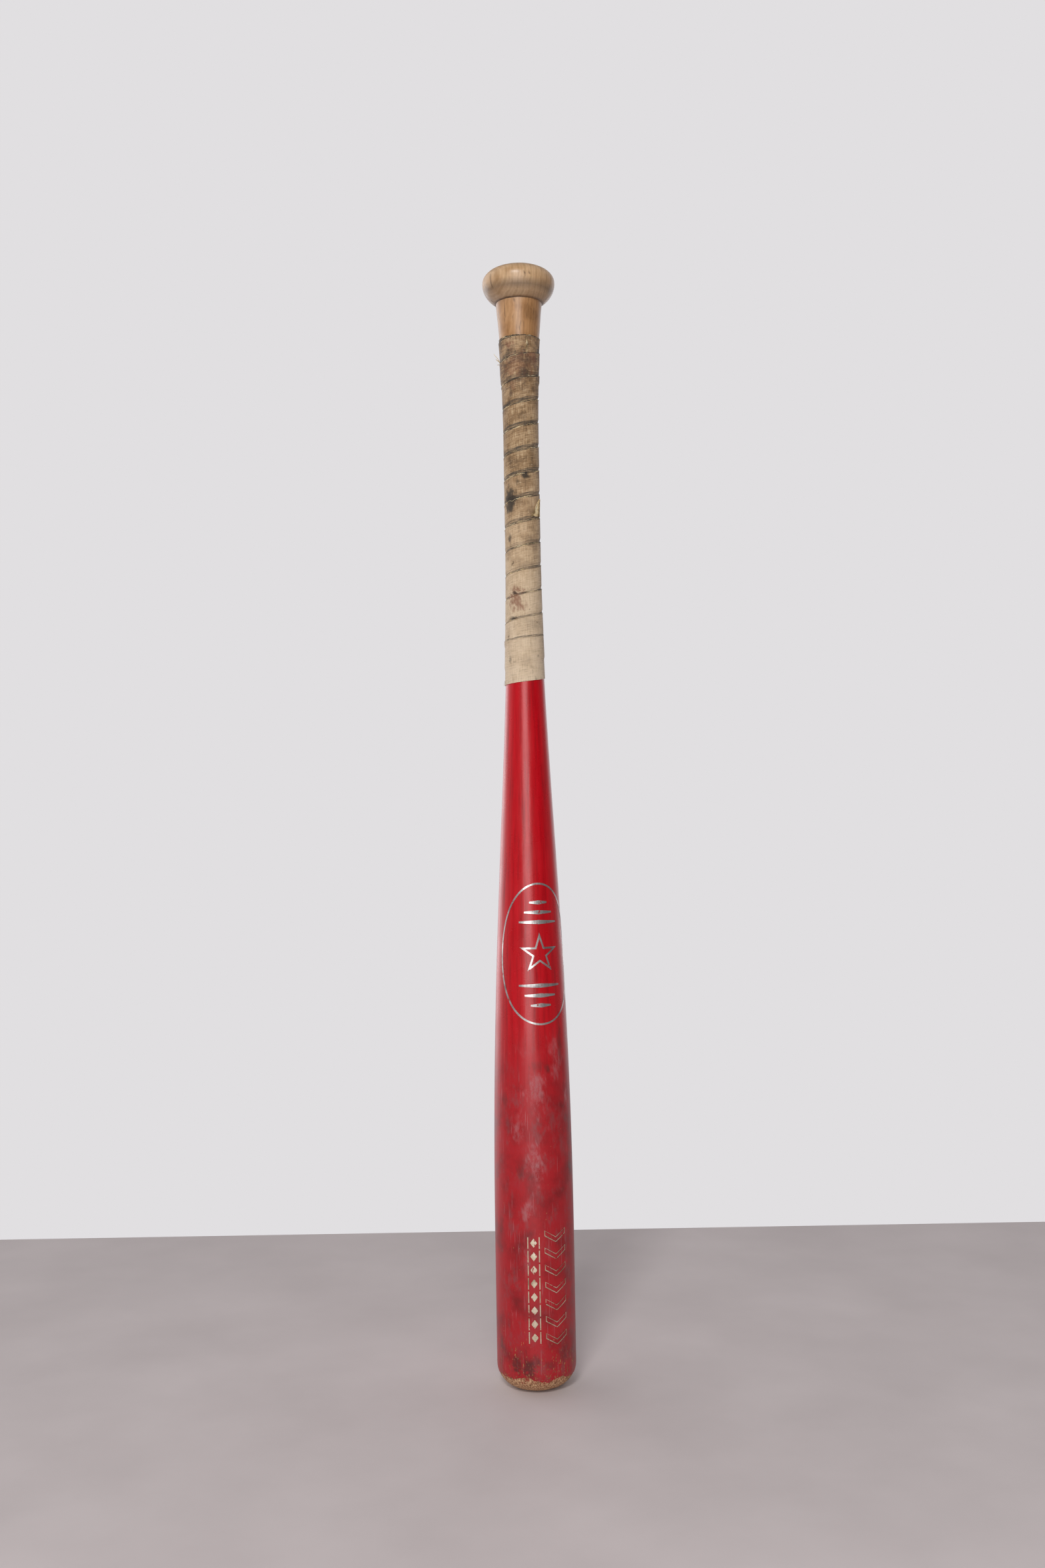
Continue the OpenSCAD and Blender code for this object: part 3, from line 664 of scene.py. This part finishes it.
    # the cut edge: a dark line, grime with painted shade in the seam, with pale threads broken over it
    seamEdgeDirtAndShade = addNode(m, "MapRange", {0: across, 1: 0.0010, 2: 0.0004})
    paleThreads = addNode(m, "MapRange", {0: alongStreaks, 1: 0.54, 2: 0.59})
    edgeTone = addNode(m, "Mix", {0: paleThreads, 6: "#3a3027", 7: "#e0c898"}, data_type="RGBA")
    edgeStrength = addNode(m, "ValToRGB", {0: heightShare},
                           stops=[(0.0, 0.3), (0.3, 0.6), (0.5, 0.85), (1.0, 0.95)])
    edged = addNode(m, "Mix",
                    {0: addNode(m, "Math", {0: seamEdgeDirtAndShade, 1: edgeStrength}, operation="MULTIPLY"), 6: grimyAndSeamShaded,
                     7: edgeTone}, data_type="RGBA")
    rusty = addNode(m, "Mix",
                    {0: addNode(m, "Math", {0: blotch, 1: 0.72}, operation="MULTIPLY"), 6: edged,
                     7: "#7a4630"}, data_type="RGBA")
    stained = addNode(m, "Mix",
                      {0: addNode(m, "Math", {0: stain, 1: 0.9}, operation="MULTIPLY"), 6: rusty,
                       7: "#2b241d"}, data_type="RGBA")
    speckNoise = addNode(m, "TexNoise", {"Vector": coords, "Scale": 330, "Detail": 2})
    specks = addNode(m, "MapRange", {0: speckNoise, 1: 0.70, 2: 0.75, 4: 0.65})
    colour = addNode(m, "Mix", {0: specks, 6: stained, 7: "#4f3d2c"}, data_type="RGBA")

    relief = addNode(m, "Math", {0: addNode(m, "Math", {0: weave, 1: 0.4}, operation="MULTIPLY"), 1: fuzz},
                     operation="ADD")
    frayed = addNode(m, "Math", {0: relief, 1: streaks}, operation="ADD")
    bump = addNode(m, "Bump", {"Height": frayed, "Strength": 0.6, "Distance": 0.00022})
    shader = addNode(m, "BsdfPrincipled", {"Base Color": colour, "Roughness": 0.8, "Normal": bump,
                                            "Sheen Weight": 0.1, "Sheen Roughness": 0.5})
    addNode(m, "OutputMaterial", {"Surface": shader})
    return m


tapeCloth = clothTape()


def faceOutwards(strip):
    # turns an open sheet over if its front is towards the bat's axis
    face = strip.data.polygons[0]
    if face.normal.dot(Vector((face.center.x, face.center.y, 0))) < 0:
        bpy.ops.object.mode_set(mode="EDIT")
        bpy.ops.mesh.select_all(action="SELECT")
        bpy.ops.mesh.flip_normals()
        bpy.ops.object.mode_set(mode="OBJECT")


def wrapStrip(columns, rows, place):
    # a flat grid is wrapped: place(c, r) gives each point's position, its place on the uncut strip
    # and how many mm it lies above the next turn's edge
    deselectAll()
    bpy.ops.mesh.primitive_grid_add(x_subdivisions=columns, y_subdivisions=rows, size=1)
    strip = bpy.context.object
    wrapped = []
    for vertex in strip.data.vertices:
        position, flat, toNext = place(round((vertex.co.x + 0.5) * columns),
                                       round((0.5 - vertex.co.y) * rows))
        vertex.co = position
        wrapped.append((flat, toNext))
    uv = strip.data.uv_layers[0]
    uv.name = "strip"
    for loop in strip.data.loops:
        uv.data[loop.index].uv = wrapped[loop.vertex_index][0]
    attribute = strip.data.attributes.new("toNext", "FLOAT", "POINT")
    attribute.data.foreach_set("value", [toNext for _, toNext in wrapped])
    faceOutwards(strip)
    return strip


def thickenCloth(strip, thickness):
    solid = strip.modifiers.new("clothThickness", "SOLIDIFY")
    solid.thickness = thickness
    solid.offset = -1
    bpy.ops.object.modifier_apply(modifier=solid.name)
    bpy.ops.object.shade_smooth_by_angle(angle=math.radians(50))


rowPlaces = [r * mm for r in gripTape["rows"]]
stripColumns = round(gripTape["turns"] * gripTape["columns"])
stripSteps = [0]
for c in range(stripColumns):
    middle = tapeEdge((c + 0.5) / gripTape["columns"]) - gripTape["width"] / 2
    stripSteps.append(stripSteps[-1] + math.tau * (bedRadius(middle) + 0.6 * mm) / gripTape["columns"])


def spiralPlace(c, r):
    g = gripTape
    turn, across = c / g["columns"], rowPlaces[r]
    angle = math.radians(g["startAzimuth"] - 90 - 360 * turn)
    flutter = 0.35 * noise.noise(Vector((turn * 9, 0, 3))) + 0.2 * noise.noise(Vector((turn * 47, 5, 0)))
    ragged = flutter * mm * smooth(1 - across / (3 * mm)) if 0.2 < turn < g["turns"] - 0.1 else 0
    height = tapeEdge(turn) - across + ragged
    share = 0 if across > 17.5 * mm else smooth(1 - abs(across - 8 * mm) / (9 * mm))
    wrinkle = 0.14 * mm * share * max(0, noise.noise(Vector((turn * 22, across / mm * 0.16, turn * 3))))
    lift = 0.14 * mm * smooth(1 - across / (1.6 * mm)) * max(0, noise.noise(Vector((turn * 16, 9, 1))) + 0.1)
    radius = bedRadius(height) + layersUnder(turn, height) + g["thickness"] + wrinkle + lift
    if c == 0:
        angle += 0.03 * noise.noise(Vector((0, 0, across / mm * 1.3)))
    toNext = (height - tapeEdge(turn + 1)) / mm if turn < g["turns"] - 1 else 9
    return (radius * math.cos(angle), radius * math.sin(angle), height), (stripSteps[c], across), toNext


spiral = wrapStrip(stripColumns, len(rowPlaces) - 1, spiralPlace)
thickenCloth(spiral, gripTape["thickness"])
paintAttribute(spiral, "stain", lambda co: markDepth(co, gripTape["stains"], 0.45))
paintAttribute(spiral, "blotch", lambda co: markDepth(co, gripTape["blotches"], 0.7))
dress(spiral, "tapeSpiralWrap", tapeCloth)
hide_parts("tape_spiral_wrap")
print("tape is wound on:", round(stripSteps[-1], 3), "m of it")

anchorLap = 40 / 360  # how far round the anchor turn's joint lies from the start of the spiral
anchorRows = [r * mm for r in (0, 0.35, 0.9, 1.8, 3, 4.5, 6.5, 8.5, 10.5, 12.5, 14.5, 18, 24, 32)]


def anchorPlace(c, r):
    g = gripTape
    around, across = c / g["columns"], anchorRows[r]
    angle = math.radians(g["startAzimuth"] - 90 + 360 * (anchorLap - around))
    loop = Vector((math.cos(angle), math.sin(angle), 0))
    ragged = ((0.5 * noise.noise(loop * 3) + 0.4 * noise.noise(loop * 11) - 0.1) * mm
              * smooth(1 - across / (2 * mm)))
    height = tapeTop - across + min(0, ragged)
    radius = bedRadius(height) + g["thickness"]
    toNext = (height - tapeEdge((around - anchorLap) % 1)) / mm if around > anchorLap else 9
    return tuple(loop * radius + Vector((0, 0, height))), (around * math.tau * radius, across), toNext


anchor = wrapStrip(gripTape["columns"], len(anchorRows) - 1, anchorPlace)
bpy.ops.object.mode_set(mode="EDIT")
bpy.ops.mesh.select_all(action="SELECT")
bpy.ops.mesh.remove_doubles(threshold=2e-5)
bpy.ops.object.mode_set(mode="OBJECT")
thickenCloth(anchor, gripTape["thickness"])
paintAttribute(anchor, "stain", lambda co: markDepth(co, gripTape["stains"], 0.45))
paintAttribute(anchor, "blotch", lambda co: 0)
dress(anchor, "tapeAnchorTurn", tapeCloth)
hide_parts("tape_anchor_turn")
print("anchor turn is on")


looseThreads = {
    "seed": 7, "perTurn": 30, "atCutEnd": 18, "atTopEdge": 34, "thickness": 0.11 * mm,
    # root as height and azimuth, reach out and up, stoutness
    "long": [((742, -88), (4.4, 8.0), 1.8), ((741.5, -86), (3.2, 4.4), 2.2), ((740.5, -90), (2.4, 1.6), 1.8),
             ((509, -80), (0.7, -3.5), 0.8), ((508.6, -72), (0.5, -2.6), 0.8)],
}
dice = random.Random(looseThreads["seed"])


def rawCotton():
    # untwisted cotton yarn ends: pale, matt and slightly uneven
    m = newMaterial("rawCottonYarn")
    coords = addNode(m, "TexCoord", {}).outputs["Object"]
    uneven = addNode(m, "TexNoise", {"Vector": coords, "Scale": 210, "Detail": 2})
    tone = addNode(m, "ValToRGB", {0: uneven},
                   stops=[(0.34, "#7f6847"), (0.46, "#cdb283"), (0.62, "#ecdcb6")])
    fluff = addNode(m, "TexNoise", {"Vector": coords, "Scale": 2600, "Detail": 1})
    bump = addNode(m, "Bump", {"Height": fluff, "Strength": 0.4, "Distance": 0.00004})
    shader = addNode(m, "BsdfPrincipled", {"Base Color": tone, "Roughness": 0.85, "Normal": bump})
    addNode(m, "OutputMaterial", {"Surface": shader})
    return m


yarn = rawCotton()
threadCurve = bpy.data.curves.new("frayedThreads", "CURVE")
threadCurve.dimensions = "3D"
threadCurve.bevel_depth = looseThreads["thickness"]
threadCurve.bevel_resolution = 0
threadCurve.use_fill_caps = True


def layThread(points, stout):
    spline = threadCurve.splines.new("POLY")
    spline.points.add(len(points) - 1)
    for i, point in enumerate(points):
        spline.points[i].co = (*point, 1)
        spline.points[i].radius = stout * (1 if i < len(points) - 1 else 0.45)


def onTape(azimuth, height, lift):
    angle = math.radians(azimuth - 90)
    radius = bedRadius(height) + 2 * gripTape["thickness"] + gripTape["gap"] + lift
    return Vector((radius * math.cos(angle), radius * math.sin(angle), height))


for turn in range(int(gripTape["turns"])):
    for i in range(looseThreads["perTurn"]):
        u = turn + dice.random() + (1 if turn == 0 else 0)
        if u > gripTape["turns"] or dice.random() > 0.45 + 0.55 * smooth((tapeEdge(u) - 0.53) / 0.12):
            continue
        azimuth, length = gripTape["startAzimuth"] - 360 * u, dice.uniform(6, 22)
        slant, rise = dice.uniform(-0.35, 0.55) * mm, dice.uniform(-0.3, 0.35) * mm
        layThread([onTape(azimuth - length * k / 4,
                          tapeEdge(u + length * k / 1440) + rise + slant * math.sin(k * 1.3 + i),
                          dice.uniform(0.0, 0.1) * mm + (0.2 * mm * dice.random() if k in (0, 4) else 0))
                   for k in range(5)], dice.uniform(0.6, 1.25))
for i in range(looseThreads["atCutEnd"]):  # warp ends at the cut end of the strip
    azimuth, top = gripTape["startAzimuth"] + dice.uniform(-1, 5), tapeTop - dice.uniform(0, 11) * mm
    length = dice.uniform(1.5, 4.5) * mm
    layThread([onTape(azimuth + dice.uniform(-0.9, 0.9), top - length * k / 3, dice.uniform(-0.38, -0.1) * mm)
               for k in range(4)], dice.uniform(0.6, 1.1))
for i in range(looseThreads["atTopEdge"]):  # short ends standing along the top edge
    azimuth = dice.uniform(-180, 180)
    layThread([onTape(azimuth + dice.uniform(-3, 3) * k, tapeTop - 0.6 * mm + 0.55 * mm * k,
                      -gripTape["thickness"] + dice.uniform(-0.1, 0.15) * mm) for k in range(3)],
              dice.uniform(0.5, 0.9))
for (height, azimuth), (out, up), stout in looseThreads["long"]:
    bend = [Vector((out * t ** 1.15, 0, up * t + 0.5 * math.sin(5 * t))) * mm
            for t in (0, 0.2, 0.4, 0.6, 0.8, 1)]
    layThread([onTape(azimuth, height * mm + b.z, b.x - 0.2 * mm) for b in bend], stout)

threads = bpy.data.objects.new("frayedThreads", threadCurve)
bpy.context.scene.collection.objects.link(threads)
deselectAll()
threads.select_set(True)
bpy.context.view_layer.objects.active = threads
bpy.ops.object.convert(target="MESH")
threads = bpy.context.object
dress(threads, "frayedThreads", yarn)
print("threads are frayed:", len(threads.data.polygons), "faces")

tornCorner = {"foot": (28, 81, 628.6), "tip": (64, 641.5), "thickness": 0.3 * mm, "curl": 1.1 * mm}

deselectAll()
bpy.ops.mesh.primitive_grid_add(x_subdivisions=12, y_subdivisions=12, size=1)
flap = bpy.context.object
for vertex in flap.data.vertices:
    a, b = vertex.co.x + 0.5, (vertex.co.y + 0.5) * 0.94
    left, right, foot = tornCorner["foot"]
    azimuth = ((left + (right - left) * a) * (1 - b) + tornCorner["tip"][0] * b
               + 3 * noise.noise(Vector((a * 3, b * 6, 0))) * b)
    height = (foot + (1 - a) * -1.2 * (1 - b) + (tornCorner["tip"][1] - foot) * b
              + 0.9 * noise.noise(Vector((a * 7, b * 2, 4))))
    fold = 0.28 * mm * math.sin(a * 11 + b * 4) * (0.3 + b)
    vertex.co = onTape(azimuth, height * mm, tornCorner["thickness"] + fold + tornCorner["curl"] * b * b)
faceOutwards(flap)
thickenCloth(flap, tornCorner["thickness"])
dress(flap, "tornTapeCorner", yarn)
print("torn corner is folded up")
